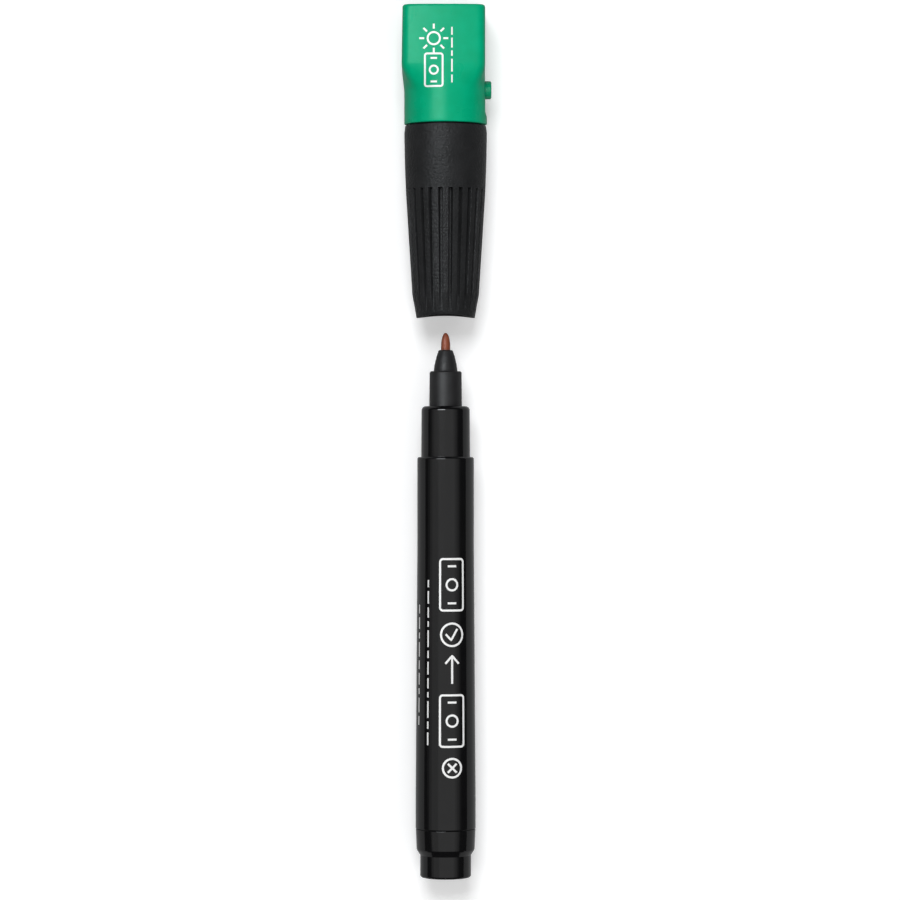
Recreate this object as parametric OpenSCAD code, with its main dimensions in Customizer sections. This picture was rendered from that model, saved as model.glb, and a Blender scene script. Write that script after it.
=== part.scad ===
// Counterfeit detector pen with an ultraviolet light in its cap.
// The pen and its open cap lie end to end on one axis, along +Y, with the nib facing the cap's mouth.
// +Z is up, and the origin is on the surface that the cap rests on, below the middle of the length.

/* [Pen barrel] */
// Radius of the barrel at its rear land
barrel_rear_r = 6.17; // [6.14:0.01:6.4]
// Radius of the barrel just behind the cap shoulder
barrel_front_r = 5.82; // [5.7:0.01:6.0]
// Length of the barrel from its rear rim to the cap shoulder
barrel_len = 76.3; // [60:0.1:90]
// Length of the straight land at the rear of the barrel
land_len = 6.9; // [4:0.1:10]
// Length of the straight front part of the barrel
front_len = 18.0; // [12:0.1:24]
// Radius of the neck at its root, where the cap grips
neck_r = 5.02; // [4.98:0.01:5.05]
// Radius of the neck at its free end
neck_end_r = 4.96; // [4.9:0.01:4.97]
// Length of the neck
neck_len = 10.45; // [9.5:0.05:10.6]
// Radius of the rounded edges of shoulder and neck
edge_round = 0.9; // [0.4:0.05:0.95]

/* [Tail plug] */
// Radius of the reduced spigot at the tail
spigot_r = 5.23; // [5.1:0.01:5.4]
// Length of the spigot
spigot_len = 4.6; // [3:0.1:6]
// Radius of the skirt where it meets the spigot's step
skirt_r = 5.97; // [5.8:0.01:6.1]
// Length of the skirt from the step to the barrel
skirt_len = 4.2; // [3.5:0.1:5]

/* [Nib and holder] */
// Radius of the holder's collar where it leaves the neck
collar_r = 3.35; // [3.3:0.01:3.38]
// Length of the collar
collar_len = 7.2; // [6:0.1:8]
// Radius of the cone at its foot
cone_r = 2.46; // [2.3:0.01:2.6]
// Length of the cone
cone_len = 4.35; // [3.5:0.05:4.6]
// Radius of the nib's rod
nib_r = 0.95; // [0.8:0.01:0.96]
// Length of nib that stands out of the cone
nib_show = 3.55; // [3:0.05:3.8]

/* [Cap sleeve] */
// Space between the nib's tip and the mouth of the open cap
cap_gap = 3.0; // [1:0.1:20]
// Length of the ribbed black sleeve from its mouth to the green head
sleeve_len = 39.5; // [39.5:0.1:39.7]
// Outer radius of the sleeve at its mouth
mouth_r = 5.98; // [5.9:0.01:6.1]
// Outer radius of the sleeve at the head
sleeve_r = 8.52; // [8.4:0.01:8.6]
// Radius of the bore that slips over the pen's neck
socket_r = 5.08; // [5.07:0.01:5.12]
// Number of grooves round the sleeve
grooves = 24; // [18:1:24]
// Width of a groove at its square upper end
groove_w = 0.82; // [0.6:0.01:1.0]
// Depth of a groove at its square upper end
groove_deep = 1.2; // [0.8:0.05:1.3]
// How far the mouth's edge is hollowed, above and below the pen
mouth_arch = 0.65; // [0.2:0.05:0.8]

/* [Light head] */
// Length of the green head
head_len = 24.2; // [24.2:0.05:26]
// Half the width of the head's square end
head_half = 8.5; // [8.4:0.01:8.6]
// How far the square end stands off the cap's axis, away from the button
head_shift = 0.6; // [0.5:0.05:0.7]
// Radius of the square end's long corners
head_corner = 2.0; // [1.5:0.1:2.5]
// Wall thickness of the head
head_wall = 1.4; // [1.2:0.05:1.45]

/* [Push button] */
// Radius of the button
button_r = 1.88; // [1.7:0.01:2.0]
// How far the button stands out of the head
button_out = 1.5; // [1.2:0.1:1.8]

/* [Cells] */
// Radius of a button cell
cell_r = 5.8; // [5.6:0.05:5.8]
// Height of a button cell
cell_h = 3.05; // [2.9:0.05:3.05]

/* [Hidden] */
$fn = 96;

// Colours
gloss_black = [0.11, 0.11, 0.12];
matt_black = [0.19, 0.19, 0.20];
nib_brown = [0.48, 0.27, 0.20];
fibre_amber = [0.72, 0.52, 0.25];
film_clear = [0.86, 0.88, 0.90];
liner_white = [0.92, 0.92, 0.90];
head_green = [0.0, 0.66, 0.48];
steel = [0.72, 0.73, 0.75];
brass_gold = [0.80, 0.66, 0.36];
board_green = [0.10, 0.36, 0.22];
gasket_blue = [0.25, 0.35, 0.55];
core_grey = [0.22, 0.22, 0.24];
lens_violet = [0.78, 0.76, 0.95];
chassis_grey = [0.55, 0.56, 0.58];

// Small clearance between pieces that are assembled by hand
slip = 0.05;
// Clearance between pieces that are pressed together
press = 0.02;
// How far a cutter passes the face it cuts through
past = 1;

// Stations along the pen, from its tail
step_len = 1.25;
rim_z = spigot_len + step_len + skirt_len;
land_end = rim_z + land_len;
shoulder_z = rim_z + barrel_len;
taper_end = shoulder_z - front_len;
neck_end = shoulder_z + neck_len;
collar_end = neck_end + collar_len;
cone_end = collar_end + cone_len;
nib_end = cone_end + nib_show;

// Inside of the pen
bore_r = 4.75;
reservoir_r = 3.9;
film_t = 0.13;
film_r = reservoir_r + press + film_t;
reservoir_z = rim_z + 10.05;
reservoir_end = shoulder_z - 1.05;
throat_r = 4.2;
holder_plug_r = 3.12;
holder_plug_len = 8;
nib_tail = reservoir_end - 6;
counterbore_r = 5.2;
counterbore_len = 6;

// Stations along the cap, from its mouth
liner_z = 11;
floor_z = 26.8;
bay_z = floor_z + 1.4;
bay_r = 6.2;
spigot_end = sleeve_len + 3;
cap_spigot_r = 7.1;
cap_len = sleeve_len + head_len;
groove_end = 26.4;
groove_foot = 5;
groove_foot_deep = 0.65;
cells_z = bay_z + 1.8;
cells_end = cells_z + 3 * cell_h;
button_y = sleeve_len + 7.36;

// Inside of a cell: the can is crimped over a gasket that insulates it from the cap
can_wall = 0.3;
can_lip_z = 0.3;
can_lip_t = 0.25;
cup_r = 4.9;
cup_wall = 0.25;
cup_len = 1.9;
core_step = 2.03;

// The metal strip that brings the cells' negative side up the sleeve
strip_t = 0.23;
strip_half = 1.4;
strip_x = -6.5;
rim_tab = 0.2;

// Head
head_socket_r = cap_spigot_r + slip;
head_inside = head_half - head_wall;
flat_x = head_half - head_shift;
flat_inside = flat_x - head_wall;
flat_z = sleeve_len + 3;
block_z = sleeve_len + 7.1;
flare_len = 4.5;
flare_r = 11.7;

// Light unit
flange_z = spigot_end + 0.5;
flange_end = flange_z + 0.6;
board_x = 0.25;
board_t = 1.0;
board_half = 5.5;
board_z = flange_end + 0.2;
board_end = sleeve_len + 15;
tongue_half = 3;
face_x = board_x + board_t;
switch_half = 3;
switch_top = face_x + 3.2;
frame_t = 0.25;
switch_floor = face_x + 0.65;
switch_well_r = 2.3;
plunger_r = 1.7;
plunger_top = 5.65;
button_flange_r = 2.65;
button_foot = plunger_top + slip;
button_seat = flat_inside - 0.1;
resistor_y = board_end - 2.9;
resistor_z = -4.1;
resistor_w = 1.6;
resistor_len = 2.2;
resistor_end_len = 0.5;
dome_rise = 0.55;
dome_seat = 0.02;
riser_x = -4.35;
contact_half = 1;
led_r = 2.5;
led_tip = cap_len - 0.45;
led_base = led_tip - 8.6;
lead_half = 0.25;
lead_gap = 1.27;
anvil_z = led_base + 2.2;
anvil_low = anvil_z - 0.4;
cup_top = anvil_z + 1.1;
cathode_half = 0.5;
head_out = 1.75;
chip_half = 0.2;
chip_t = 0.15;
lead_foot = board_end - 3.5;

// Where the pen and the cap lie
axis_z = head_half + 0.05;
total_len = nib_end + cap_gap + cap_len;
tail_y = -total_len / 2;
mouth_y = tail_y + nib_end + cap_gap;

// Points of an arc, from angle a0 to a1
function arc(cx, cy, r, a0, a1, steps = 5) = [
    for (i = [0:steps]) let (a = a0 + (a1 - a0) * i / steps) [cx + r * cos(a), cy + r * sin(a)]
];

// Points of a straight line between two values, for a stretch that is worked out step by step
function mix(a, b, t) = a + (b - a) * t;

// A child drawn round Z is laid along +Y
module laid() {
    rotate([-90, 0, 0]) children();
}

// Frame of the pen: Y counts from the tail, X and Z from its axis
module pen_frame() {
    translate([0, tail_y, axis_z]) children();
}

// Frame of the cap: Y counts from the mouth, X and Z from its axis
module cap_frame() {
    translate([0, mouth_y, axis_z]) children();
}

// A block between two corners
module block(a, b) {
    translate(a) cube(b - a);
}

// A rod along Y, from y0 to y1
module rod(r, y0, y1) {
    translate([0, y0, 0]) laid() cylinder(r = r, h = y1 - y0);
}

// A tube along Y
module tube(outer, inner, y0, y1) {
    difference() {
        rod(outer, y0, y1);
        rod(inner, y0 - past, y1 + past);
    }
}

// A peg along X, at height y along the cap
module peg(r, x0, x1, y, z = 0) {
    translate([x0, y, z]) rotate([0, 90, 0]) cylinder(r = r, h = x1 - x0);
}

// ---- Pen ----

module barrel() {
    rim_edge = 0.15;
    round = edge_round;
    outside = concat(
        [[0, rim_z], [barrel_rear_r - rim_edge, rim_z], [barrel_rear_r, rim_z + rim_edge]],
        [[barrel_rear_r, land_end], [barrel_front_r, taper_end]],
        arc(barrel_front_r - round / 1.3, shoulder_z - round / 1.3, round / 1.3, 0, 90),
        [[neck_r, shoulder_z]],
        arc(neck_end_r - round, neck_end - round, round, 0, 90),
        [[0, neck_end]]
    );
    bore = [
        [0, rim_z - past], [counterbore_r, rim_z - past], [counterbore_r, rim_z + counterbore_len],
        [bore_r, rim_z + counterbore_len], [bore_r, shoulder_z - 2.4], [throat_r, shoulder_z - 1.1],
        [throat_r, shoulder_z + 0.7], [holder_plug_r + press, neck_end - holder_plug_len],
        [holder_plug_r + press, neck_end + past], [0, neck_end + past]
    ];
    ribs = 6;
    rib_half = 0.4;
    color(gloss_black) pen_frame() {
        laid() rotate_extrude() difference() {
            polygon(outside);
            polygon(bore);
        }
        for (i = [0:ribs - 1]) {
            rotate([0, i * 360 / ribs, 0])
                block([film_r + slip, reservoir_z + 2, -rib_half],
                    [bore_r + 0.3, shoulder_z - 3, rib_half]);
        }
    }
}

module tail_plug() {
    end_wall = 1.2;
    hollow_r = 4.1;
    inner_len = 4.95;
    edge = 0.5;
    fin_half = 0.4;
    fin_r = 3.6;
    inner_end = rim_z + inner_len;
    plug_seat_r = counterbore_r - press;
    outside = concat(
        [[0, 0]],
        arc(spigot_r - edge, edge, edge, -90, 0),
        [[spigot_r, spigot_len], [skirt_r - 0.1, spigot_len + step_len - 0.25]],
        [[skirt_r, spigot_len + step_len], [barrel_rear_r - 0.05, rim_z - 0.1], [barrel_rear_r - 0.15, rim_z]],
        [[plug_seat_r, rim_z], [plug_seat_r, inner_end - 0.3], [plug_seat_r - 0.3, inner_end], [0, inner_end]]
    );
    color(gloss_black) pen_frame() {
        laid() rotate_extrude() difference() {
            polygon(outside);
            translate([0, end_wall]) square([hollow_r, inner_end]);
        }
        for (turn = [0, 90]) {
            rotate([0, turn, 0])
                block([-fin_r, end_wall, -fin_half], [fin_r, reservoir_z - 0.15, fin_half]);
            rotate([0, turn, 0])
                block([-hollow_r - 0.2, end_wall, -fin_half], [hollow_r + 0.2, inner_end - 1, fin_half]);
        }
    }
}

module nib_holder() {
    draft = 0.06;
    edge = 0.5;
    tip_round = 0.55;
    tip_r = 1.12;
    plug_z = neck_end - holder_plug_len + 0.1;
    seat_z = reservoir_end + 0.1;
    seat_r = 2;
    outside = concat(
        [[0, seat_z], [seat_r, seat_z], [seat_r, plug_z], [holder_plug_r - 0.3, plug_z]],
        [[holder_plug_r, plug_z + 0.5], [holder_plug_r, neck_end], [collar_r, neck_end]],
        arc(collar_r - draft - edge, collar_end - edge, edge, 0, 90),
        [[cone_r, collar_end], [mix(cone_r, tip_r, 0.24), collar_end + cone_len * 0.4]],
        [[mix(cone_r, tip_r, 0.6), cone_end - tip_round - 0.3]],
        arc(tip_r, cone_end - tip_round, tip_round, 20, 90),
        [[0, cone_end]]
    );
    vents = 4;
    vent_half = 0.3;
    vent_deep = 0.35;
    color(matt_black) pen_frame() difference() {
        laid() rotate_extrude() polygon(outside);
        rod(nib_r + press, seat_z - past, cone_end + past);
        for (i = [0:vents - 1]) {
            rotate([0, 45 + i * 360 / vents, 0])
                block([holder_plug_r - vent_deep, plug_z - past, -vent_half],
                    [holder_plug_r + past, neck_end - 0.6, vent_half]);
        }
    }
}

module nib() {
    bullet = 2.8;
    shy = 0.02;
    steps = 8;
    outside = concat(
        [[0, nib_tail], [nib_r - 0.35, nib_tail], [nib_r, nib_tail + 1]],
        [for (i = [steps:-1:0]) let (a = 90 * i / steps)
            [(nib_r - shy) * sin(a), nib_end - bullet * (1 - cos(a))]]
    );
    color(nib_brown) pen_frame() laid() rotate_extrude() polygon(outside);
}

module ink_reservoir() {
    color(fibre_amber) pen_frame() difference() {
        rod(reservoir_r, reservoir_z, reservoir_end);
        rod(nib_r + press, nib_tail - 0.2, reservoir_end + past);
    }
}

module reservoir_film() {
    color(film_clear) pen_frame() tube(film_r, reservoir_r + press, reservoir_z, reservoir_end);
}

// ---- Cap sleeve and what it holds ----

module cap_sleeve() {
    lead_in = 0.3;
    flare_z = 4.2;
    flare_r = mouth_r + 0.76;
    outside = [
        [0, 0], [mouth_r - 0.1, 0], [mouth_r, 0.1], [mouth_r + 0.12, 0.6], [mix(mouth_r, flare_r, 0.48), 2.1],
        [flare_r, flare_z], [flare_r + 0.12, 5], [flare_r + 0.27, 7.6], [mix(mouth_r, sleeve_r, 0.618), 16.1],
        [mix(mouth_r, sleeve_r, 0.866), groove_end], [mix(mouth_r, sleeve_r, 0.953), 32.6],
        [sleeve_r, sleeve_len - 0.3], [sleeve_r - 0.2, sleeve_len], [cap_spigot_r, sleeve_len],
        [cap_spigot_r, spigot_end - 0.3], [cap_spigot_r - 0.3, spigot_end], [0, spigot_end]
    ];
    top_r = mix(mouth_r, sleeve_r, 0.866);
    foot_r = flare_r + 0.12;
    slope = atan(((top_r - groove_deep) - (foot_r - groove_foot_deep)) / (groove_end - groove_foot));
    cutter_len = groove_end + 2;
    key_half = 0.6;
    key_out = 0.45;
    arch_r = (mouth_r * mouth_r + mouth_arch * mouth_arch) / (2 * mouth_arch);
    color(matt_black) cap_frame() {
        difference() {
            laid() rotate_extrude() polygon(outside);
            translate([0, mouth_arch - arch_r, -10]) cylinder(r = arch_r, h = 20);
            rod(socket_r, -past, floor_z);
            laid() translate([0, 0, -0.001])
                cylinder(r1 = socket_r + lead_in, r2 = socket_r, h = lead_in);
            rod(bay_r, bay_z, spigot_end + past);
            block([strip_x - 0.1, bay_z, -strip_half - 0.1], [-bay_r + 0.5, spigot_end + past, strip_half + 0.1]);
            for (i = [0:grooves - 1]) {
                rotate([0, (i + 0.5) * 360 / grooves, 0])
                    translate([top_r - groove_deep, groove_end, 0])
                    rotate([0, 0, -slope])
                    groove_cutter(cutter_len);
            }
        }
        block([-key_half, sleeve_len, -cap_spigot_r - key_out], [key_half, spigot_end - 0.4, -cap_spigot_r + 0.3]);
    }
}

// One groove: its floor starts at the origin and runs down -Y, narrowing towards the mouth
module groove_cutter(len) {
    narrow = 0.8;
    tall = 4;
    rotate([0, 90, 0]) linear_extrude(height = tall)
        polygon([[-groove_w / 2, 0], [groove_w / 2, 0], [groove_w * narrow / 2, -len], [-groove_w * narrow / 2, -len]]);
}

module seal_liner() {
    seal_r = 3.42;
    toe_r = 2.6;
    wall = 0.83;
    lip = 0.5;
    ring_r = socket_r - press;
    grip_end = liner_z + 8.5;
    toe_z = liner_z + 11.5;
    top_z = floor_z - 0.1;
    fins = 4;
    outside = [
        [0, top_z], [toe_r + wall, top_z], [toe_r + wall, toe_z], [seal_r + wall, grip_end],
        [seal_r + wall, liner_z + 1.2], [ring_r, liner_z + 1.2], [ring_r, liner_z], [0, liner_z]
    ];
    inside = [
        [0, liner_z - past], [seal_r + lip, liner_z - past], [seal_r + lip, liner_z], [seal_r, liner_z + 0.6],
        [seal_r, grip_end], [toe_r, toe_z], [toe_r, top_z - 0.75], [0, top_z - 0.75]
    ];
    color(liner_white) cap_frame() difference() {
        union() {
            laid() rotate_extrude() polygon(outside);
            for (i = [0:fins - 1]) {
                rotate([0, 45 + i * 360 / fins, 0])
                    block([toe_r + 0.4, liner_z + 1, -lip], [ring_r - 0.05, toe_z, lip]);
            }
        }
        laid() rotate_extrude() polygon(inside);
    }
}

// Conical contact spring: a round wire swept along a narrowing helix
module negative_spring() {
    wire_r = 0.25;
    foot_r = 4.2;
    head_r = 2.4;
    turns = 2.5;
    sides = 8;
    rings = 60;
    z0 = bay_z + strip_t + wire_r + 0.03;
    z1 = cells_z - wire_r - 0.03;
    function centre(t) = let (r = mix(foot_r, head_r, t), a = 360 * turns * t)
        [r * cos(a), mix(z0, z1, t), r * sin(a)];
    function ring(t) = let (c = centre(t), a = 360 * turns * t)
        [for (k = [0:sides - 1]) let (b = 360 * k / sides)
            c + wire_r * cos(b) * [cos(a), 0, sin(a)] + wire_r * sin(b) * [0, 1, 0]];
    points = [for (i = [0:rings]) each ring(i / rings)];
    walls = [for (i = [0:rings - 1], k = [0:sides - 1])
        let (a = i * sides + k, b = i * sides + (k + 1) % sides)
        [a, b, b + sides, a + sides]];
    foot = [for (k = [sides - 1:-1:0]) k];
    head = [for (k = [0:sides - 1]) rings * sides + k];
    color(steel) cap_frame() polyhedron(points = points, faces = concat([foot, head], walls), convexity = 6);
}

module return_strip() {
    foot_r = 4.6;
    low = bay_z + 0.01;
    color(brass_gold) cap_frame() {
        rod(foot_r, low, low + strip_t);
        block([strip_x, low, -strip_half], [0, low + strip_t, strip_half]);
        block([strip_x, low, -strip_half], [strip_x + strip_t, spigot_end + rim_tab, strip_half]);
        block([strip_x - 0.45, spigot_end + 0.01, -strip_half], [strip_x + strip_t, spigot_end + rim_tab, strip_half]);
    }
}

module battery_tube() {
    color(film_clear) cap_frame() tube(bay_r - slip, cell_r + 0.1, bay_z + 0.4, sleeve_len);
}

// Frame of one cell: Y counts from its negative face
module cell_frame(i) {
    cap_frame() translate([0, cells_z + (i - 1) * cell_h, 0]) children();
}

module cell_can(i) {
    lip_r = cup_r + 0.15;
    color(steel) cell_frame(i) difference() {
        rod(cell_r, can_lip_z, cell_h);
        rod(cell_r - can_wall, can_lip_z + can_lip_t, cell_h - can_wall);
        rod(lip_r, can_lip_z - past, can_lip_z + past);
    }
}

module cell_core(i) {
    color(core_grey) cell_frame(i) {
        rod(cup_r - cup_wall - slip, cup_wall + press, core_step);
        rod(cell_r - can_wall - 2 * press, core_step, cell_h - can_wall - press);
    }
}

module cell_gasket(i) {
    color(gasket_blue) cell_frame(i)
        tube(cell_r - can_wall - press, cup_r + press, can_lip_z + can_lip_t + press, core_step - 0.03);
}

module cell_cap(i) {
    color(steel) cell_frame(i) difference() {
        rod(cup_r, 0, cup_len);
        rod(cup_r - cup_wall, cup_wall, cup_len + past);
    }
}

// ---- Light head ----

// Plan of the head's square end: two bars and four round corners, as true arcs
module head_plan(half, corner) {
    straight = half - corner;
    translate([-head_shift, 0]) {
        square([2 * straight, 2 * half], center = true);
        square([2 * half, 2 * straight], center = true);
        for (x = [-straight, straight], y = [-straight, straight]) {
            translate([x, y]) circle(r = corner);
        }
    }
}

module uv_head() {
    round_r = sleeve_r - 0.02;
    runout = 1.65;
    led_boss_r = 3.9;
    led_boss_len = 5;
    led_hole_r = led_r + 0.12;
    key_half = 0.7;
    key_out = 0.55;
    cavity_z = block_z + 3.4;
    top_z = cap_len - 1.5;
    flare = [
        [0, block_z], [round_r, block_z], [flare_r, block_z + flare_len], [flare_r, cap_len], [0, cap_len]
    ];
    rest_drop = axis_z - head_half;
    color(head_green) cap_frame() difference() {
        union() {
            difference() {
                rod(round_r, sleeve_len, block_z + 2);
                // The flat beside the button, which runs out into the round base
                translate([0, 0, -10]) linear_extrude(height = 20) polygon([
                    [flat_x, block_z + 3], [flat_x, flat_z], [round_r + 0.1, flat_z - runout],
                    [round_r + 2, flat_z - runout], [round_r + 2, block_z + 3]
                ]);
            }
            intersection() {
                translate([0, 0, -rest_drop]) laid() translate([0, 0, block_z])
                    linear_extrude(height = cap_len - block_z) head_plan(head_half, head_corner);
                laid() rotate_extrude() polygon(flare);
            }
        }
        difference() {
            union() {
                rod(head_socket_r, sleeve_len - past, flange_end + 0.05);
                intersection() {
                    rod(head_socket_r, flange_end, cavity_z + 0.1);
                    block([-9, flange_end, -9], [flat_inside, cavity_z + 1, 9]);
                }
                laid() translate([0, 0, cavity_z])
                    linear_extrude(height = top_z - cavity_z) head_plan(head_inside, head_corner - 0.8);
            }
            rod(led_boss_r, top_z - led_boss_len, top_z + past);
        }
        rod(led_hole_r, top_z - led_boss_len - past, cap_len + past);
        peg(button_r + 0.07, flat_inside - past, flat_x + past, button_y);
        block([-key_half, sleeve_len - past, -cap_spigot_r - key_out], [key_half, spigot_end, 0]);
    }
}

module light_chassis() {
    plug_r = bay_r - 0.15;
    plug_z = sleeve_len + 0.3;
    post_in = board_half - 0.5;
    post_out = board_half + 0.9;
    post_end = board_end - 2.5;
    arm_deep = 0.35;
    arm_room = contact_half + 0.15;
    color(chassis_grey) cap_frame() difference() {
        union() {
            rod(plug_r, plug_z, flange_z);
            rod(cap_spigot_r, flange_z, flange_end);
            for (side = [-1, 1]) {
                scale([1, 1, side])
                    block([board_x - 1.05, flange_z, post_in], [face_x + 0.95, post_end, post_out]);
            }
        }
        // slot for the board's edges, and for its tongue and the tab beside it
        block([board_x - slip, board_z - slip, -board_half - slip], [face_x + slip, post_end + past, board_half + slip]);
        block([board_x - slip, plug_z - past, -tongue_half - slip], [face_x + 0.35, board_z, tongue_half + slip]);
        // room for the negative contact's arm and riser
        block([-bay_r - past, flange_z - arm_deep, -arm_room], [riser_x + 0.1, flange_z, arm_room]);
        block([riser_x - strip_t - 0.12, flange_z - arm_deep, -arm_room], [riser_x + 0.1, flange_end + past, arm_room]);
    }
}

module positive_contact() {
    plate_z = cells_end + 0.15;
    plate_end = sleeve_len + 0.1;
    plate_r = 4;
    nub_r = 1.5;
    tab_x = face_x + slip;
    tab_t = 0.25;
    tab_half = 1.4;
    color(brass_gold) cap_frame() {
        rod(plate_r, plate_z, plate_end);
        rod(nub_r, cells_end + 0.02, plate_z + 0.1);
        block([tab_x, plate_z, -tab_half], [tab_x + tab_t, spigot_end - 0.5, tab_half]);
    }
}

module negative_contact() {
    half = contact_half;
    arm_x = -6.85;
    low = spigot_end + rim_tab + 0.02;
    arm_z = flange_end + 1.35;
    color(brass_gold) cap_frame() {
        block([arm_x, low, -half], [riser_x, low + strip_t, half]);
        block([riser_x - strip_t, low, -half], [riser_x, arm_z + strip_t, half]);
        block([riser_x - strip_t, arm_z, -half], [board_x - 0.02, arm_z + strip_t, half]);
    }
}

// Places of the switch's four pins, as [along the cap, across the board]
pin_places = [for (y = [-2.25, 2.25], z = [-3.25, 3.25]) [button_y + y, z]];

module circuit_board() {
    pin_hole_r = 0.5;
    tongue_z = sleeve_len + 0.15;
    color(board_green) cap_frame() difference() {
        union() {
            block([board_x, board_z, -board_half], [face_x, board_end, board_half]);
            block([board_x, tongue_z, -tongue_half], [face_x, board_z + 0.1, tongue_half]);
        }
        for (p = pin_places) {
            peg(pin_hole_r, board_x - past, face_x + past, p[0], p[1]);
        }
    }
}

module switch_body() {
    color(gloss_black) cap_frame() difference() {
        block([face_x + 0.01, button_y - switch_half, -switch_half], [switch_top, button_y + switch_half, switch_half]);
        peg(switch_well_r, switch_floor, switch_top + past, button_y);
    }
}

module switch_frame() {
    tab_half = 1.5;
    tab_x = face_x + 1.3;
    tab_t = 0.15;
    color(steel) cap_frame() {
        difference() {
            block([switch_top, button_y - switch_half - tab_t, -switch_half],
                [switch_top + frame_t, button_y + switch_half + tab_t, switch_half]);
            peg(plunger_r + 0.08, switch_top - past, switch_top + past, button_y);
        }
        for (y = [-switch_half - tab_t, switch_half]) {
            block([tab_x, button_y + y, -tab_half], [switch_top, button_y + y + tab_t, tab_half]);
        }
    }
}

module switch_pins() {
    half = 0.3;
    t = 0.25;
    below = 0.7;
    shoulder_x = face_x + 0.6;
    leg_z = switch_half + 0.12;
    color(steel) cap_frame() for (p = pin_places) {
        side = sign(p[1]);
        translate([0, p[0], 0]) scale([1, 1, side]) {
            block([board_x - below, -half, leg_z], [shoulder_x + t, half, leg_z + t]);
            block([shoulder_x, -half, switch_half + 0.01], [shoulder_x + t, half, leg_z + t]);
        }
    }
}

// Snap dome: a thin sprung cap of sheet steel
module switch_dome() {
    r = 2.0;
    rise = dome_rise;
    t = 0.1;
    ball = (r * r + rise * rise) / (2 * rise);
    color(steel) cap_frame() translate([switch_floor + dome_seat, button_y, 0]) rotate([0, 90, 0])
        translate([0, 0, rise - ball]) intersection() {
            difference() {
                sphere(r = ball);
                sphere(r = ball - t);
            }
            translate([0, 0, ball - rise]) cylinder(r = r, h = 2 * rise);
        }
}

module resistor_body() {
    low = resistor_z + resistor_end_len;
    color(core_grey) cap_frame()
        block([face_x + 0.02, resistor_y, low], [face_x + 0.55, resistor_y + resistor_w, low + resistor_len]);
}

module resistor_ends() {
    proud = 0.02;
    color(steel) cap_frame() for (z = [resistor_z, resistor_z + resistor_end_len + resistor_len]) {
        block([face_x + 0.01, resistor_y - proud, z],
            [face_x + 0.57, resistor_y + resistor_w + proud, z + resistor_end_len]);
    }
}

// ---- Light-emitting diode ----

// Solid shapes of the two leads and the chip, grown by g, so that the lens can leave room for them
module led_anode_shape(g) {
    post_top = anvil_z + 1.3;
    post_in = 0.75;
    block([-lead_half - g, lead_foot, lead_gap - lead_half - g], [lead_half, anvil_z + g, lead_gap + lead_half + g]);
    block([-lead_half - g, anvil_low - g, post_in - g], [lead_half + g, post_top + g, head_out + g]);
}

module led_cathode_shape(g) {
    cup_in = 0.4;
    block([-lead_half - g, lead_foot, -lead_gap - lead_half - g], [lead_half, anvil_z + g, -lead_gap + lead_half + g]);
    block([-cathode_half - g, anvil_low - g, -head_out - g], [cathode_half + g, cup_top + g, cup_in + g]);
}

module led_chip_shape(g) {
    block([-chip_half - g, cup_top, -chip_half - g], [chip_half + g, cup_top + chip_t + g, chip_half + g]);
}

module led_lens() {
    rim_r = 2.9;
    rim_len = 1;
    color(lens_violet) cap_frame() difference() {
        union() {
            rod(led_r, led_base, led_tip - led_r);
            rod(rim_r, led_base, led_base + rim_len);
            translate([0, led_tip - led_r, 0]) sphere(r = led_r);
        }
        block([-4, led_base - past, -4], [4, led_base + rim_len, -led_r - 0.1]);
        led_anode_shape(press);
        led_cathode_shape(press);
        led_chip_shape(press);
    }
}

module led_chip() {
    color(brass_gold) cap_frame() led_chip_shape(0);
}

module led_anode() {
    color(steel) cap_frame() led_anode_shape(0);
}

module led_cathode() {
    color(steel) cap_frame() led_cathode_shape(0);
}

// ---- Push button ----

module button_cap() {
    edge = 0.3;
    tip = flat_x + button_out;
    outside = concat(
        [[0, button_foot], [button_flange_r, button_foot], [button_flange_r, button_seat], [button_r, button_seat]],
        arc(button_r - edge, tip - edge, edge, 0, 90),
        [[0, tip]]
    );
    color(head_green) cap_frame() translate([0, button_y, 0]) rotate([0, 90, 0]) rotate_extrude() polygon(outside);
}

module switch_plunger() {
    nub_r = 0.8;
    nub_len = 0.8;
    flange_out = 0.35;
    nub_x = switch_floor + dome_seat + dome_rise + 0.03;
    flange_x = nub_x + nub_len;
    color(matt_black) cap_frame() {
        peg(nub_r, nub_x, plunger_top - past, button_y);
        peg(plunger_r + flange_out, flange_x, switch_top - 0.1, button_y);
        peg(plunger_r, flange_x, plunger_top, button_y);
    }
}

barrel();
tail_plug();
nib_holder();
nib();
ink_reservoir();
reservoir_film();
cap_sleeve();
seal_liner();
negative_spring();
return_strip();
battery_tube();
cell_can(1);  // cell_1_can
cell_core(1);  // cell_1_core
cell_gasket(1);  // cell_1_gasket
cell_cap(1);  // cell_1_cap
cell_can(2);  // cell_2_can
cell_core(2);  // cell_2_core
cell_gasket(2);  // cell_2_gasket
cell_cap(2);  // cell_2_cap
cell_can(3);  // cell_3_can
cell_core(3);  // cell_3_core
cell_gasket(3);  // cell_3_gasket
cell_cap(3);  // cell_3_cap
uv_head();
light_chassis();
positive_contact();
negative_contact();
circuit_board();
switch_body();
switch_frame();
switch_pins();
switch_dome();
resistor_body();
resistor_ends();
led_lens();
led_chip();
led_anode();
led_cathode();
button_cap();
switch_plunger();
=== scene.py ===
"""Looks of a counterfeit detector pen whose cap holds an ultraviolet light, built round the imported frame.

The pen and its open cap lie end to end on one axis, along +Y, with +Z up. Sizes in the sections are in
millimetres. Stations on the pen count from its tail, whose end face is at -0.5, and stations on the cap
count from the cap's mouth. Radii count from the axis.
"""
import math

import bmesh
import bpy
from mathutils import Matrix, Vector
from mathutils.bvhtree import BVHTree


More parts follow.
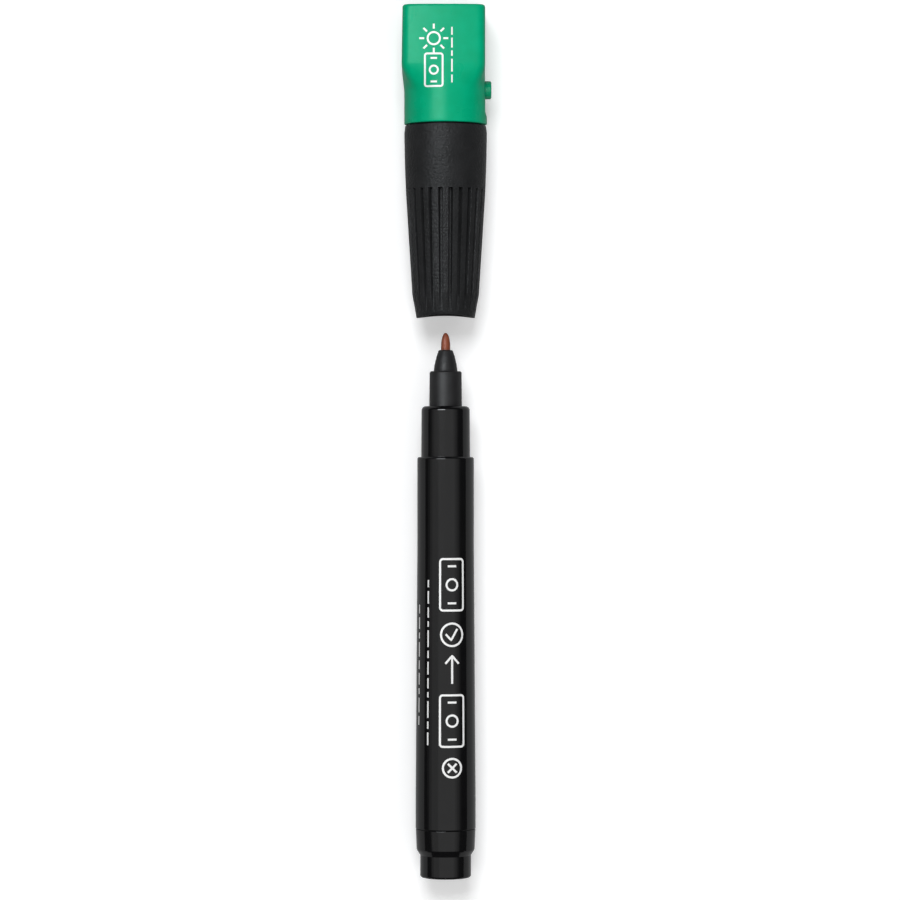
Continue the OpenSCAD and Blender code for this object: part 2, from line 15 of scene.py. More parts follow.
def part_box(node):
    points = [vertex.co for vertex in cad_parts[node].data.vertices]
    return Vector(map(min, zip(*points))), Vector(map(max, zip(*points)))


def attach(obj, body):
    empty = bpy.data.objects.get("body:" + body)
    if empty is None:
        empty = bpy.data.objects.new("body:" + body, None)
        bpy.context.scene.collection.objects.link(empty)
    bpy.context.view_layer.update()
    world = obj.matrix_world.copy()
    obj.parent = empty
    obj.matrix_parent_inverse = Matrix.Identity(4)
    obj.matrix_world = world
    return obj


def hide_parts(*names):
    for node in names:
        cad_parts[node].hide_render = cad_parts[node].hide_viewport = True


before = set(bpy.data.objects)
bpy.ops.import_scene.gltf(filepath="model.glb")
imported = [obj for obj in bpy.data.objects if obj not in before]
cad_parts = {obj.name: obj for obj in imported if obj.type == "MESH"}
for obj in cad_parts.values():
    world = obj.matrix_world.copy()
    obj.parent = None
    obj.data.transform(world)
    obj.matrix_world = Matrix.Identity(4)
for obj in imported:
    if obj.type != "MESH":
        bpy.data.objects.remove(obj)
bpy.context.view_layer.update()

# ---- Barrel ----
# The pen's body: one glossy black injection-moulded tube of polypropylene, slightly tapered, whose neck the
# cap grips. The tail plug closes its rear end and the nib holder its front end.
MM = 0.001
NIB_TIP = 111.4
ROUNDING_SHARE = 0.49  # of an edge, so that the roundings at its two ends never meet
POLE_R = 1e-4
pen_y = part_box("nib")[1].y - NIB_TIP * MM
axis_z = sum(corner.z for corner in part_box("barrel")) / 2


def rounded(corners, steps=5):
    """Outline through corners (station, radius, rounding), each rounded as a mould rounds it."""
    points = []
    for i, (station, radius, rounding) in enumerate(corners):
        here = Vector((station, radius))
        if not rounding or i in (0, len(corners) - 1):
            points.append(here)
            continue
        back = Vector(corners[i - 1][:2]) - here
        ahead = Vector(corners[i + 1][:2]) - here
        half = back.angle(ahead) / 2
        reach = min(rounding / math.tan(half), back.length * ROUNDING_SHARE, ahead.length * ROUNDING_SHARE)
        arc_r = reach * math.tan(half)
        back.normalize()
        ahead.normalize()
        centre = here + (back + ahead).normalized() * arc_r / math.sin(half)
        start, end = here + back * reach - centre, here + ahead * reach - centre
        points += [centre + start.lerp(end, k / steps).normalized() * arc_r for k in range(steps + 1)]
    return points


def revolved(outline, origin_y, sides=96):
    """Rings of a body turned round the common axis."""
    rings = []
    for station, radius in outline:
        y = origin_y + station * MM
        if radius < POLE_R:
            rings.append([Vector((0, y, axis_z))])
            continue
        turns = [2 * math.pi * k / sides for k in range(sides)]
        rings.append([Vector((radius * MM * math.sin(a), y, axis_z + radius * MM * math.cos(a)))
                      for a in turns])
    return rings


def loft(mesh, rings, loop=False, caps=False):
    """Skin over a row of rings; a ring of one point is a pole."""
    rows = [[mesh.verts.new(p) for p in ring] for ring in rings]
    for low, high in zip(rows, rows[1:] + rows[:1] if loop else rows[1:]):
        count = max(len(low), len(high))
        for i in range(count):
            j = (i + 1) % count
            corners = (low[i % len(low)], low[j % len(low)], high[j % len(high)], high[i % len(high)])
            # Where a ring is a pole, its corner comes twice and is kept once
            mesh.faces.new(list(dict.fromkeys(corners)))
    if caps:
        mesh.faces.new(rows[0])
        mesh.faces.new(rows[-1][::-1])


def block(mesh, low, high, origin_y, turn=0.0, soft=0.08):
    """A rib or key with softened edges between two corners, turned round the axis."""
    made = bmesh.ops.create_cube(mesh, size=1)["verts"]
    size = Vector(high) - Vector(low)
    for v in made:
        v.co = Vector((v.co[k] + 0.5) * size[k] + low[k] for k in range(3)) * MM
    edges = list({e for v in made for e in v.link_edges})
    bevelled = bmesh.ops.bevel(mesh, geom=edges, offset=soft * MM, segments=2, affect="EDGES")["verts"]
    place = Matrix.Translation((0, origin_y, axis_z)) @ Matrix.Rotation(turn, 4, "Y")
    bmesh.ops.transform(mesh, matrix=place, verts=list(set(bevelled) | {v for v in made if v.is_valid}))


def piece(name, mesh, crease=35):
    """An object from a finished mesh, smooth except at real edges."""
    bmesh.ops.recalc_face_normals(mesh, faces=mesh.faces)
    data = bpy.data.meshes.new(name)
    mesh.to_mesh(data)
    mesh.free()
    data.shade_smooth()
    data.set_sharp_from_angle(angle=math.radians(crease))
    made = bpy.data.objects.new(name, data)
    bpy.context.scene.collection.objects.link(made)
    # Long straight walls keep their own direction right up to their rounded ends
    made.modifiers.new("even_shading", "WEIGHTED_NORMAL").keep_sharp = True
    return made


def node(tree, kind, settings=None, **inputs):
    """A node with its settings and inputs; an input given as a socket is linked."""
    made = tree.nodes.new(kind)
    for key, value in (settings or {}).items():
        setattr(made, key, value)
    for key, value in inputs.items():
        socket = made.inputs[key.replace("_", " ")]
        if isinstance(value, bpy.types.NodeSocket):
            tree.links.new(value, socket)
        else:
            socket.default_value = value
    return made


def new_group(name, inputs, outputs):
    """An empty shader group with float inputs {name: default} and named float outputs."""
    tree = bpy.data.node_groups.new(name, "ShaderNodeTree")
    for key, value in inputs.items():
        socket = tree.interface.new_socket(key, in_out="INPUT", socket_type="NodeSocketFloat")
        socket.default_value = value
    for key in outputs:
        tree.interface.new_socket(key, in_out="OUTPUT", socket_type="NodeSocketFloat")
    source = tree.nodes.new("NodeGroupInput")
    sink = tree.nodes.new("NodeGroupOutput")
    coords = node(tree, "ShaderNodeTexCoord").outputs["Object"]
    in_mm = node(tree, "ShaderNodeVectorMath", {"operation": "SCALE"}, Vector=coords, Scale=1 / MM)
    return tree, source.outputs, sink.inputs, in_mm.outputs[0]


def maths(tree, operation, a, b):
    """One arithmetic step between two varying values."""
    made = tree.nodes.new("ShaderNodeMath")
    made.operation = operation
    for socket, value in zip(made.inputs, (a, b)):
        if isinstance(value, bpy.types.NodeSocket):
            tree.links.new(value, socket)
        else:
            socket.default_value = value
    return made.outputs[0]


def blend(tree, a, share_a, b, share_b):
    """Two varying values added in given shares."""
    return maths(tree, "ADD", maths(tree, "MULTIPLY", a, share_a), maths(tree, "MULTIPLY", b, share_b))


def stretched(tree, where, factors):
    """Coordinates scaled along each axis; a small factor draws a texture out along its axis."""
    made = node(tree, "ShaderNodeVectorMath", {"operation": "MULTIPLY"}, Vector=where)
    made.inputs[1].default_value = factors
    return made.outputs[0]


def noise(tree, where, scale, detail=2.0, factors=(1.0, 1.0, 1.0)):
    """Noise of a given frequency per millimetre, drawn out along an axis where asked."""
    if factors != (1.0, 1.0, 1.0):
        where = stretched(tree, where, factors)
    return node(tree, "ShaderNodeTexNoise", Vector=where, Scale=scale, Detail=detail).outputs["Fac"]


def spread(tree, value, low, high):
    """A varying value moved from 0..1 to low..high."""
    return node(tree, "ShaderNodeMapRange", Value=value, To_Min=low, To_Max=high).outputs[0]


def narrowed(tree, value, low, high):
    """The part of a varying value between low and high, stretched to 0..1."""
    return node(tree, "ShaderNodeMapRange", Value=value, From_Min=low, From_Max=high).outputs[0]


SKIN = ("Tone", "Wear", "Height")  # what every skin group gives
TONE_ENDS = (0.2, 0.7)  # values of Tone at which a material has its first and its second colour


def moulded_group():
    """Skin of a moulded plastic: Tone mottles it, Wear marks handling, Height is its grain."""
    tree, given, out, where = new_group("moulded skin", {"Grain": 6.0}, SKIN)
    grain = noise(tree, where, given["Grain"], 3.0)
    pits = node(tree, "ShaderNodeTexVoronoi", Vector=where, Scale=given["Grain"]).outputs["Distance"]
    mottle = noise(tree, where, 0.35, 4.0)
    specks = narrowed(tree, noise(tree, where, 2.6, 1.0), 0.72, 0.80)
    scratches = narrowed(tree, noise(tree, where, 3.0, 3.0, (1.0, 0.07, 1.0)), 0.60, 0.78)
    cross = narrowed(tree, noise(tree, where, 2.2, 3.0, (0.10, 1.0, 0.12)), 0.64, 0.80)
    smudge = noise(tree, where, 0.16, 3.0)
    marks = maths(tree, "MAXIMUM", scratches, cross)
    tree.links.new(blend(tree, mottle, 0.75, specks, 0.3), out["Tone"])
    tree.links.new(blend(tree, smudge, 0.6, marks, 0.4), out["Wear"])
    tree.links.new(blend(tree, grain, 0.7, pits, 0.3), out["Height"])
    return tree


def surface(name, group, tones, rough, relief, grain=None, **shader):
    """A material: the group's Tone gives its colour, Wear its roughness, and Height its relief in mm."""
    made = bpy.data.materials.new(name)
    made.use_nodes = True
    tree = made.node_tree
    bsdf = tree.nodes["Principled BSDF"]
    skin = node(tree, "ShaderNodeGroup", {"node_tree": group})
    if grain is not None:
        skin.inputs[0].default_value = grain
    ramp = node(tree, "ShaderNodeValToRGB", Fac=skin.outputs["Tone"])
    for stop, position, tone in zip(ramp.color_ramp.elements, TONE_ENDS, tones):
        stop.position = position
        stop.color = (*tone, 1)
    tree.links.new(ramp.outputs["Color"], bsdf.inputs["Base Color"])
    tree.links.new(spread(tree, skin.outputs["Wear"], *rough), bsdf.inputs["Roughness"])
    bump = node(tree, "ShaderNodeBump", Height=skin.outputs["Height"], Distance=relief * MM, Strength=1.0)
    tree.links.new(bump.outputs["Normal"], bsdf.inputs["Normal"])
    for key, value in shader.items():
        bsdf.inputs[key.replace("_", " ")].default_value = value
    return made


moulded = moulded_group()
gloss_black = surface("gloss_black", moulded, ((0.0035, 0.0035, 0.0038), (0.0055, 0.0055, 0.006)),
                      (0.06, 0.17), 0.0022, grain=0.9)
BARREL_RIBS = 6
barrel_mesh = bmesh.new()
barrel_outline = rounded([
    (9.55, 5.2, 0), (9.55, 6.17, 0.16), (16.45, 6.17, 9), (67.85, 5.82, 9), (85.85, 5.82, 0.75),
    (85.85, 5.02, 0.12), (96.3, 4.96, 0.85), (96.3, 3.14, 0.12), (88.3, 3.14, 0), (86.55, 4.2, 0),
    (84.75, 4.2, 0), (83.45, 4.75, 0), (15.05, 4.75, 0), (15.05, 5.2, 0),
], steps=6)
loft(barrel_mesh, revolved(barrel_outline, pen_y, 128), loop=True)
for rib in range(BARREL_RIBS):
    block(barrel_mesh, (4.15, 21.6, -0.4), (5.0, 82.8, 0.4), pen_y, turn=2 * math.pi * rib / BARREL_RIBS)
barrel = piece("barrel_shell", barrel_mesh)
barrel.data.materials.append(gloss_black)
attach(barrel, "pen")
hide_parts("barrel")

# ---- Ink reservoir and film ----
# A bundle of polyester fibre soaked in amber iodine ink, wrapped in a clear film and held by the barrel's
# ribs. The nib's tail is pushed into its front end.
def fibre_group():
    """Fibres laid along the pen: Tone, Wear and Height all run in long strands."""
    tree, given, out, where = new_group("laid fibre", {"Strands": 7.0}, SKIN)
    drawn = stretched(tree, where, (1.0, 0.12, 1.0))
    strands = noise(tree, drawn, given["Strands"], 3.0)
    knots = node(tree, "ShaderNodeTexVoronoi", Vector=drawn, Scale=given["Strands"]).outputs["Distance"]
    damp = noise(tree, where, 0.5, 3.0)
    tree.links.new(blend(tree, strands, 0.7, damp, 0.3), out["Tone"])
    tree.links.new(maths(tree, "MULTIPLY", damp, strands), out["Wear"])
    tree.links.new(blend(tree, strands, 0.6, knots, 0.4), out["Height"])
    return tree


laid_fibre = fibre_group()
ink_fibre = surface("ink_soaked_fibre", laid_fibre, ((0.28, 0.14, 0.03), (0.62, 0.38, 0.12)), (0.55, 0.85),
                    0.05)
clear_film = surface("clear_film", moulded, ((0.80, 0.82, 0.84), (0.90, 0.92, 0.94)), (0.05, 0.16), 0.001,
                     grain=0.6, Transmission_Weight=0.9, IOR=1.49)
JOIN_WITHIN = 1e-6  # metres
EDGE_ANGLE = 40  # degrees; only sharper edges are softened


def finish_cad(name, material, soft=0.0):
    """A CAD node shown as it is: its material, and softened edges where the real piece has them."""
    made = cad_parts[name]
    made.data.materials.clear()
    made.data.materials.append(material)
    if soft:
        weld = made.modifiers.new("joined_faces", "WELD")
        weld.merge_threshold = JOIN_WITHIN
        bevel = made.modifiers.new("soft_edges", "BEVEL")
        bevel.width = soft * MM
        bevel.segments = 2
        bevel.limit_method = "ANGLE"
        bevel.angle_limit = math.radians(EDGE_ANGLE)


finish_cad("ink_reservoir", ink_fibre)
finish_cad("reservoir_film", clear_film)

# ---- Tail plug ----
# A separate moulding of the same glossy black, pressed into the barrel's rear end, with a reduced spigot
# behind a chamfered step. Cross fins inside it hold the reservoir forward.
plug_mesh = bmesh.new()
plug_outline = rounded([
    (-0.5, 0.0, 0), (-0.5, 5.23, 0.5), (4.1, 5.23, 0.12), (5.1, 5.87, 0.1), (5.35, 5.97, 0.12),
    (9.49, 6.14, 0.14), (9.49, 5.18, 0), (14.5, 5.18, 0.3), (14.5, 4.1, 0.2), (0.7, 4.1, 0.4), (0.7, 0.0, 0),
])
loft(plug_mesh, revolved(plug_outline, pen_y, 128))
for fin_turn in (0, math.pi / 2):
    block(plug_mesh, (-3.6, 0.5, -0.4), (3.6, 19.4, 0.4), pen_y, fin_turn)
tail_plug = piece("tail_plug_shell", plug_mesh)
tail_plug.data.materials.append(gloss_black)
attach(tail_plug, "pen")
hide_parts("tail_plug")

# ---- Nib holder ----
# A satin black moulding pressed into the neck: a collar, then a blunt cone with a rounded mouth that grips
# the nib. Four vents down its plug let air back into the barrel.
holder_black = surface("holder_black", moulded, ((0.012, 0.012, 0.0125), (0.021, 0.021, 0.022)),
                       (0.40, 0.56), 0.020, grain=3.5, Specular_IOR_Level=0.35)
holder_mesh = bmesh.new()
holder_outline = rounded([
    (84.9, 0.97, 0), (84.9, 2.0, 0.1), (88.4, 2.0, 0), (88.4, 2.82, 0), (88.9, 3.12, 0), (96.3, 3.12, 0),
    (96.32, 3.35, 0.05), (103.5, 3.29, 0.5), (103.5, 2.46, 0.1), (105.0, 2.25, 8), (106.5, 1.88, 5),
    (107.4, 1.58, 2), (107.85, 1.42, 0.3), (107.85, 0.97, 0.06),
])
loft(holder_mesh, revolved(holder_outline, pen_y), loop=True)
nib_holder = piece("nib_holder_shell", holder_mesh)
nib_holder.data.materials.append(holder_black)
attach(nib_holder, "pen")
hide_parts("nib_holder")

# ---- Nib ----
# A rod of bonded acrylic fibre, ground to a bullet and stained brown by the iodine ink. It is pushed through
# the holder into the reservoir.
nib_fibre = surface("nib_fibre", laid_fibre, ((0.085, 0.018, 0.008), (0.31, 0.075, 0.03)), (0.42, 0.75),
                    0.022, grain=9.0)
nib_mesh = bmesh.new()
NIB_R, BULLET, NIB_STEPS = 0.95, 2.8, 18
quarter = [math.pi / 2 * k / NIB_STEPS for k in range(NIB_STEPS, -1, -1)]
bullet = [(NIB_TIP - BULLET * (1 - math.cos(a)), NIB_R * math.sin(a)) for a in quarter]
loft(nib_mesh, revolved([(78.8, 0.0), (78.8, 0.6), (79.8, NIB_R)] + bullet, pen_y, 48))
nib = piece("nib_rod", nib_mesh, crease=50)
nib.data.materials.append(nib_fibre)
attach(nib, "pen")
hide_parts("nib")

# ---- Cap sleeve ----
# The cap's lower half, moulded in matt black: 24 tapering finger grooves run from a square upper end and fade
# out at the mouth. Its spigot goes into the green head, with a key that stops it turning.
mouth_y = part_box("cap_sleeve")[0].y
sleeve_black = surface("sleeve_black", moulded, ((0.0145, 0.015, 0.0155), (0.0235, 0.024, 0.025)),
                       (0.36, 0.46), 0.15, grain=2.0, Specular_IOR_Level=0.12)
GROOVES = 24
GROOVE_TOP, GROOVE_FOOT, GROOVE_FADE = 26.4, 5.0, 0.9
TOP_DEPTH, FOOT_DEPTH = 1.3, 0.7
GROOVE_HALF, MOUTH_SHARE = 0.42, 0.8  # half a groove's width at the top, and the share of it at the mouth
MOUTH_ARCH, ARCH_FADE = 0.65, 6.0
MOUTH_EDGE_R, SEAM_FOOT, PLAIN_AT = 5.9, 39.3, 39.0  # PLAIN_AT is any station above the grooves
sleeve_outline = rounded([
    (26.8, 0.0, 0), (26.8, 5.08, 0.2), (0.3, 5.08, 0), (0.0, 5.4, 0.1), (0.0, 5.98, 0.14), (0.6, 6.10, 0.3),
    (2.1, 6.34, 2), (4.2, 6.74, 1.5), (5.0, 6.86, 1.5), (7.6, 7.01, 6), (16.1, 7.55, 12), (26.4, 8.18, 12),
    (32.6, 8.40, 12), (39.40, 8.52, 0.35), (39.40, 7.1, 0), (42.5, 7.1, 0.3), (42.5, 6.2, 0.15),
    (28.2, 6.2, 0.2), (28.2, 0.0, 0),
], steps=3)


def mixed(a, b, share):
    """Value between two values."""
    return a + (b - a) * share


def outline_radius(outline, station):
    """Radius of the outer outline at a station."""
    for (s0, r0), (s1, r1) in zip(outline, outline[1:]):
        if s0 <= station <= s1 and s1 > s0:
            return mixed(r0, r1, (station - s0) / (s1 - s0))
    return outline[-1][1]


def arched(station, x):
    """A station near the mouth, moved so that the mouth's edge is hollowed above and below the pen."""
    if station >= ARCH_FADE:
        return station
    hollow = max(0.0, 1 - (x / outer[0][1]) ** 2)
    return station + MOUTH_ARCH * hollow * (1 - station / ARCH_FADE) ** 2


def groove_depth(station):
    """Full depth of a groove at a station: deep at its square end, gone at the mouth."""
    if station > GROOVE_TOP:
        return 0.0
    if station < GROOVE_FOOT:
        return FOOT_DEPTH * max(0.0, (station - GROOVE_FADE) / (GROOVE_FOOT - GROOVE_FADE))
    return mixed(FOOT_DEPTH, TOP_DEPTH, (station - GROOVE_FOOT) / (GROOVE_TOP - GROOVE_FOOT))


# The ribbed outside runs from the mouth's outer edge to the seam, with its rings closest at the grooves' ends
first = next(i for i, p in enumerate(sleeve_outline) if p[1] > MOUTH_EDGE_R)
last = next(i for i, p in enumerate(sleeve_outline) if i > first and p[0] > SEAM_FOOT)
outer = sleeve_outline[first:last]
outer_stations = [p[0] for p in outer if p[0] < 1.0]
outer_stations += [1.0 + 0.5 * k for k in range(50)]
outer_stations += [26.0, 26.18, 26.29, 26.34, 26.38, 26.41, 26.46, 26.56]
outer_stations += [27.0 + k for k in range(12)]
# Across one groove: (share of the half width, share of the depth), then across the rib beside it
ACROSS = ((-1.16, 0.0), (-1.0, 0.07), (-0.9, 0.40), (-0.82, 0.88), (-0.66, 1.0), (0.0, 1.04), (0.66, 1.0),
          (0.82, 0.88), (0.9, 0.40), (1.0, 0.07), (1.16, 0.0))
RIB = (0.2, 0.5, 0.8)
PITCH = 2 * math.pi / GROOVES


def sleeve_ring(station):
    """One ring of the ribbed outside."""
    radius = outline_radius(outer, station)
    depth = groove_depth(station)
    half = GROOVE_HALF * mixed(MOUTH_SHARE, 1.0, min(station, GROOVE_TOP) / GROOVE_TOP) / radius
    edge = ACROSS[-1][0] * half
    ring = []
    for groove in range(GROOVES):
        middle = (groove + 0.5) * PITCH
        ring += [(middle + share * half, radius - sunk * depth) for share, sunk in ACROSS]
        ring += [(middle + edge + share * (PITCH - 2 * edge), radius) for share in RIB]
    return [Vector((r * MM * math.cos(a), mouth_y + arched(station, r * math.cos(a)) * MM,
                    axis_z + r * MM * math.sin(a))) for a, r in ring]


def plain_ring(station, radius):
    """A round ring with the same count of points as the ribbed ones."""
    if radius < POLE_R:
        return [Vector((0, mouth_y + station * MM, axis_z))]
    axis = Vector((0, 0, axis_z))
    flat = [(p - axis) * Vector((1, 0, 1)) for p in sleeve_ring(PLAIN_AT)]
    points = [axis + v.normalized() * radius * MM for v in flat]
    return [p + Vector((0, mouth_y + arched(station, p.x / MM) * MM, 0)) for p in points]


sleeve_mesh = bmesh.new()
sleeve_rings = [plain_ring(*p) for p in sleeve_outline[:first]]
sleeve_rings += [sleeve_ring(s) for s in sorted(set(outer_stations))]
sleeve_rings += [plain_ring(*p) for p in sleeve_outline[last:]]
loft(sleeve_mesh, sleeve_rings)
block(sleeve_mesh, (-0.6, 39.3, -7.55), (0.6, 42.1, -6.8), mouth_y)
cap_sleeve = piece("cap_sleeve_shell", sleeve_mesh, crease=42)
cap_sleeve.data.materials.append(sleeve_black)


def cut(target, mesh):
    """Cuts one piece by a closed mesh and keeps the result as plain geometry."""
    cutter = piece("cutter", mesh)
    step = target.modifiers.new("cut", "BOOLEAN")
    step.object = cutter
    step.solver = "EXACT"
    shown = target.evaluated_get(bpy.context.evaluated_depsgraph_get())
    result = bpy.data.meshes.new_from_object(shown)
    target.modifiers.remove(step)
    target.data = result
    bpy.data.objects.remove(cutter)


strip_slot = bmesh.new()
block(strip_slot, (-6.6, 28.25, -1.5), (-5.7, 43.5, 1.5), mouth_y, soft=0.05)
cut(cap_sleeve, strip_slot)
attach(cap_sleeve, "sleeve")
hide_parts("cap_sleeve")

# ---- Seal liner, return strip, spring and battery tube ----
# Inside the sleeve: a natural polyethylene liner that seals on the nib holder, and a battery bay with a
# stamped brass strip, a conical steel spring and a clear insulating tube.
def metal_group():
    """Drawn or stamped metal: Tone is tarnish, Wear and Height are draw lines along the part."""
    tree, given, out, where = new_group("drawn metal", {"Lines": 9.0}, SKIN)
    lines = noise(tree, stretched(tree, where, (1.0, 0.05, 1.0)), given["Lines"], 4.0)
    tarnish = noise(tree, where, 0.8, 4.0)
    spots = narrowed(tree, noise(tree, where, 3.1, 2.0), 0.62, 0.75)
    tree.links.new(maths(tree, "SUBTRACT", tarnish, maths(tree, "MULTIPLY", spots, 0.25)), out["Tone"])
    tree.links.new(blend(tree, lines, 0.5, tarnish, 0.5), out["Wear"])
    tree.links.new(blend(tree, lines, 0.8, spots, 0.2), out["Height"])
    return tree


drawn_metal = metal_group()
liner_white = surface("liner_white", moulded, ((0.66, 0.66, 0.62), (0.80, 0.80, 0.77)), (0.30, 0.48), 0.004,
                      grain=2.0, Subsurface_Weight=0.25, Subsurface_Scale=0.001)
brass = surface("contact_brass", drawn_metal, ((0.42, 0.27, 0.09), (0.72, 0.52, 0.22)), (0.22, 0.42), 0.002,
                Metallic=1.0)
spring_steel = surface("spring_steel", drawn_metal, ((0.34, 0.34, 0.35), (0.55, 0.55, 0.57)), (0.18, 0.36),
                       0.002, Metallic=1.0)
finish_cad("seal_liner", liner_white)
finish_cad("return_strip", brass, soft=0.05)
finish_cad("negative_spring", spring_steel)
finish_cad("battery_tube", clear_film)

# ---- Button cells ----
# Three alkaline cells stacked in series. Each is a drawn steel can crimped over a nylon gasket and a stepped
# cap, with the electrodes between them.
can_steel = surface("cell_steel", drawn_metal, ((0.50, 0.50, 0.51), (0.70, 0.70, 0.71)), (0.20, 0.38), 0.0015,
                    Metallic=1.0)
cell_powder = surface("cell_core", moulded, ((0.015, 0.015, 0.018), (0.045, 0.045, 0.05)), (0.7, 0.9), 0.03,
                      grain=4.0)
gasket_nylon = surface("gasket_nylon", moulded, ((0.035, 0.07, 0.18), (0.06, 0.11, 0.27)), (0.3, 0.5), 0.004,
                       grain=3.0)
CAN = rounded([(2.75, 0.0, 0), (2.75, 5.5, 0.1), (0.55, 5.5, 0), (0.55, 5.05, 0.08), (0.3, 5.05, 0.1),
               (0.3, 5.8, 0.22), (3.05, 5.8, 0.28), (3.05, 0.0, 0)])
CAP = rounded([(0.25, 0.0, 0), (0.25, 4.6, 0.1), (1.9, 4.65, 0), (1.9, 4.9, 0), (0.0, 4.9, 0.3),
               (0.0, 0.0, 0)])
for number in (1, 2, 3):
    cell_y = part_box(f"cell_{number}_cap")[0].y
    for part, outline in (("can", CAN), ("cap", CAP)):
        cell_mesh = bmesh.new()
        loft(cell_mesh, revolved(outline, cell_y, 64))
        shell = piece(f"cell_{number}_{part}_shell", cell_mesh)
        shell.data.materials.append(can_steel)
        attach(shell, "sleeve")
        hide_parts(f"cell_{number}_{part}")
    finish_cad(f"cell_{number}_core", cell_powder)
    finish_cad(f"cell_{number}_gasket", gasket_nylon)

# ---- Light unit ----
# A grey moulded chassis plugs into the sleeve's end and carries a small circuit board on edge, with two brass
# contacts, a tact switch, a chip resistor and a 5 mm ultraviolet diode. The green head slips over it all.
chassis_grey = surface("chassis_grey", moulded, ((0.22, 0.23, 0.24), (0.31, 0.32, 0.33)), (0.38, 0.55), 0.012,
                       grain=5.0)
solder_mask = surface("solder_mask", moulded, ((0.008, 0.075, 0.035), (0.015, 0.13, 0.06)), (0.22, 0.40),
                      0.010, grain=2.5)
switch_black = surface("switch_black", moulded, ((0.008, 0.008, 0.009), (0.015, 0.015, 0.016)), (0.35, 0.55),
                       0.008, grain=6.0)
resistor_black = surface("resistor_black", moulded, ((0.010, 0.010, 0.011), (0.022, 0.022, 0.024)),
                         (0.15, 0.35), 0.006, grain=4.0)
tin_plate = surface("tin_plate", drawn_metal, ((0.50, 0.50, 0.48), (0.74, 0.74, 0.71)), (0.25, 0.5), 0.003,
                    Metallic=1.0)
for name, material, soft in (
        ("light_chassis", chassis_grey, 0.06), ("positive_contact", brass, 0.04),
        ("negative_contact", brass, 0.04), ("circuit_board", solder_mask, 0.03),
        ("switch_body", switch_black, 0.06), ("switch_frame", tin_plate, 0.03),
        ("switch_pins", tin_plate, 0.03), ("switch_dome", spring_steel, 0.0),
        ("resistor_body", resistor_black, 0.04), ("resistor_ends", tin_plate, 0.05)):
    finish_cad(name, material, soft)

# ---- Ultraviolet diode ----
# A clear epoxy dome with a flat on its rim, cast round two tinned leads. The cathode's cup holds the glowing
# chip in front of a small reflector.
epoxy = surface("clear_epoxy", moulded, ((0.86, 0.84, 0.95), (0.93, 0.92, 0.99)), (0.02, 0.07), 0.0006,
                grain=0.8, Transmission_Weight=1.0, IOR=1.53)
chip_violet = surface("chip_violet", moulded, ((0.30, 0.10, 0.60), (0.55, 0.30, 0.95)), (0.3, 0.5), 0.002,
                      grain=8.0, Emission_Color=(0.45, 0.15, 1.0, 1.0), Emission_Strength=0.4)
finish_cad("led_lens", epoxy)
finish_cad("led_chip", chip_violet)
finish_cad("led_anode", tin_plate, soft=0.03)
finish_cad("led_cathode", tin_plate, soft=0.03)

# ---- Light head ----
# The cap's upper half, a satin green moulding: round where it meets the sleeve, rounded square at its end,
# with a flat for the push button. It slips over the light unit, and the diode shines from its end's hole.
head_green = surface("head_green", moulded, ((0.0, 0.365, 0.172), (0.001, 0.435, 0.22)), (0.24, 0.38), 0.022,
                     grain=2.4, Specular_IOR_Level=0.10)
HEAD_BASE, HEAD_END, HEAD_WALL = 39.74, (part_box("uv_head")[1].y - mouth_y) / MM, 1.4
BASE_EDGE, END_EDGE = 0.25, 0.55  # roundings of the base's and of the end's outer edge
BASE_R, CORNER_R = 8.5, 1.7
CROWN, CROWN_MIDDLE, CROWN_HALF = 0.26, -0.5, 7.0  # how far the upper face falls, from where, and over what
BLEND_START, BLEND_END = 45.8, 51.8
LED_HOLE_R, LED_BOSS_R, BOSS_FOOT, TOP_INSIDE = 2.62, 3.9, HEAD_END - 6.5, HEAD_END - 1.5
SOCKET_R, SOCKET_END, CAVITY_START, FLAT_INSIDE = 7.15, 43.65, 50.0, 6.5
BUTTON_HOLE_R, HOLE_DEPTH, HOLE_MIDDLE = 1.95, 4.0, 7.3
UNCLIPPED = 99.0
BUTTON_AT = (sum(corner.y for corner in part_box("button_cap")) / 2 - mouth_y) / MM


def eased(low, high, value):
    """0 below low, 1 above high, with a soft start and end."""
    share = min(1.0, max(0.0, (value - low) / (high - low)))
    return share * share * (3 - 2 * share)


def soft_max(a, b, width):
    """The larger value, with its crease softened."""
    reach = max(width - abs(a - b), 0) / width
    return max(a, b) + reach * reach * width / 4


def head_sides(station):
    """How far the head reaches to the left, to the right, up and down at a station."""
    left = mixed(8.97, 8.78, (station - BLEND_END) / (HEAD_END - BLEND_END))
    right = mixed(8.6, mixed(8.14, 8.08, eased(44.6, 48.6, station)), eased(40.9, 42.4, station))
    return left, right, mixed(8.5, 8.4, eased(BLEND_END, HEAD_END, station)), 8.55


def round_distance(x, z, station):
    """Distance outside the round base, with its flat beside the button."""
    return soft_max(math.hypot(x, z) - BASE_R, x - head_sides(station)[1], 0.15)


def square_distance(x, z, station):
    """Distance outside the rounded-square end, whose upper face is slightly crowned."""
    left, right, up, down = head_sides(station)
    crown = CROWN * ((x - CROWN_MIDDLE) / CROWN_HALF) ** 2 if z > 0 else 0.0
    over_x = abs(x - (right - left) / 2) - (right + left) / 2 + CORNER_R
    over_z = abs(z - (up - down) / 2) + crown - (up + down) / 2 + CORNER_R
    return math.hypot(max(over_x, 0), max(over_z, 0)) + min(max(over_x, over_z), 0) - CORNER_R


def reach(distance, ux, uz, station, inset):
    """Radius at which an outline, pulled in by an inset, lies in one direction; found by halving."""
    low, high = 3.0, 14.0
    for _ in range(26):
        radius = (low + high) / 2
        if distance(radius * ux, radius * uz, station) > -inset:
            high = radius
        else:
            low = radius
    return radius


